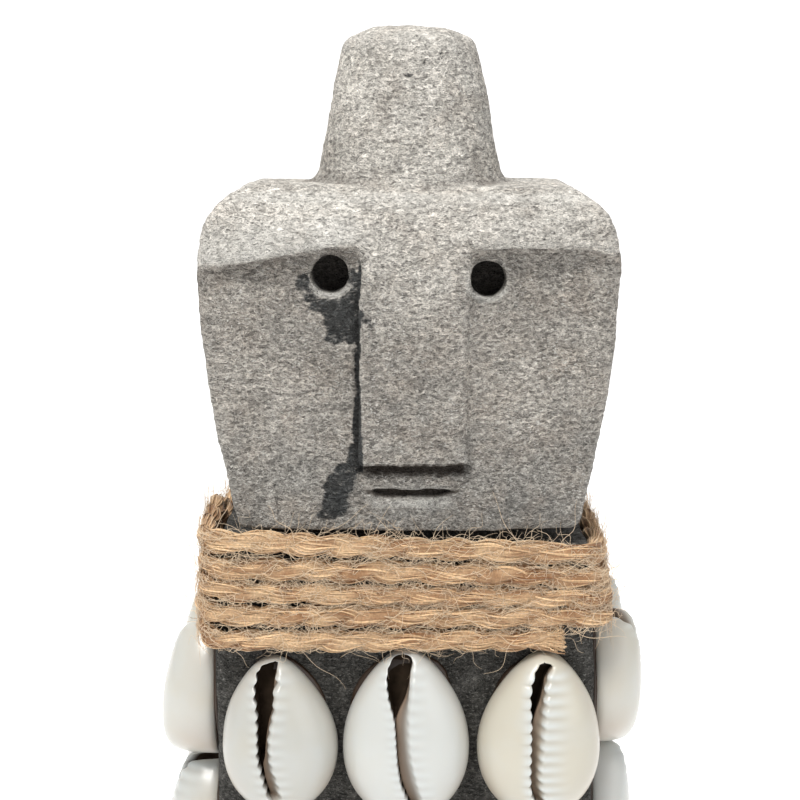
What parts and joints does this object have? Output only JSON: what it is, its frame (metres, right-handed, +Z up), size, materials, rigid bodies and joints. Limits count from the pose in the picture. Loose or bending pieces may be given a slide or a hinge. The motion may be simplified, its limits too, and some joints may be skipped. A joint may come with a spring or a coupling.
{
  "type": "carved stone tiki figure",
  "caption": "Free-standing carved stone tiki with a tapered cap, a block head and a slab body, a wound twine collar and rows of cut cowrie shells.",
  "frame": {"origin": "middle of the underside, on the surface that the figure stands on", "axes": "+Z up, the face looks along -Y, +X to the right of someone who looks at the face"},
  "size_m": [0.075, 0.055, 0.217],
  "materials": {
    "stone": "matte",
    "jute": "matte",
    "cowrie": "gloss",
    "glue": "satin"
  },
  "bodies": {
    "root": {"carved_stone": "stone", "jute_rope": "jute", "cowrie_front_1_1": "cowrie", "cowrie_front_1_2": "cowrie", "cowrie_front_1_3": "cowrie", "cowrie_front_2_1": "cowrie", "cowrie_front_2_2": "cowrie", "cowrie_front_2_3": "cowrie", "cowrie_front_3_1": "cowrie", "cowrie_front_3_2": "cowrie", "cowrie_front_3_3": "cowrie", "cowrie_front_4_1": "cowrie", "cowrie_front_4_2": "cowrie", "cowrie_front_4_3": "cowrie", "cowrie_right_1_1": "cowrie", "cowrie_right_1_2": "cowrie", "cowrie_right_2_1": "cowrie", "cowrie_right_2_2": "cowrie", "cowrie_right_3_1": "cowrie", "cowrie_right_3_2": "cowrie", "cowrie_right_4_1": "cowrie", "cowrie_right_4_2": "cowrie", "cowrie_right_5_1": "cowrie", "cowrie_right_5_2": "cowrie", "cowrie_back_1_1": "cowrie", "cowrie_back_1_2": "cowrie", "cowrie_back_1_3": "cowrie", "cowrie_back_2_1": "cowrie", "cowrie_back_2_2": "cowrie", "cowrie_back_2_3": "cowrie", "cowrie_back_3_1": "cowrie", "cowrie_back_3_2": "cowrie", "cowrie_back_3_3": "cowrie", "cowrie_back_4_1": "cowrie", "cowrie_back_4_2": "cowrie", "cowrie_back_4_3": "cowrie", "cowrie_left_1_1": "cowrie", "cowrie_left_1_2": "cowrie", "cowrie_left_2_1": "cowrie", "cowrie_left_2_2": "cowrie", "cowrie_left_3_1": "cowrie", "cowrie_left_3_2": "cowrie", "cowrie_left_4_1": "cowrie", "cowrie_left_4_2": "cowrie", "cowrie_left_5_1": "cowrie", "cowrie_left_5_2": "cowrie"}
  },
  "joints": []
}
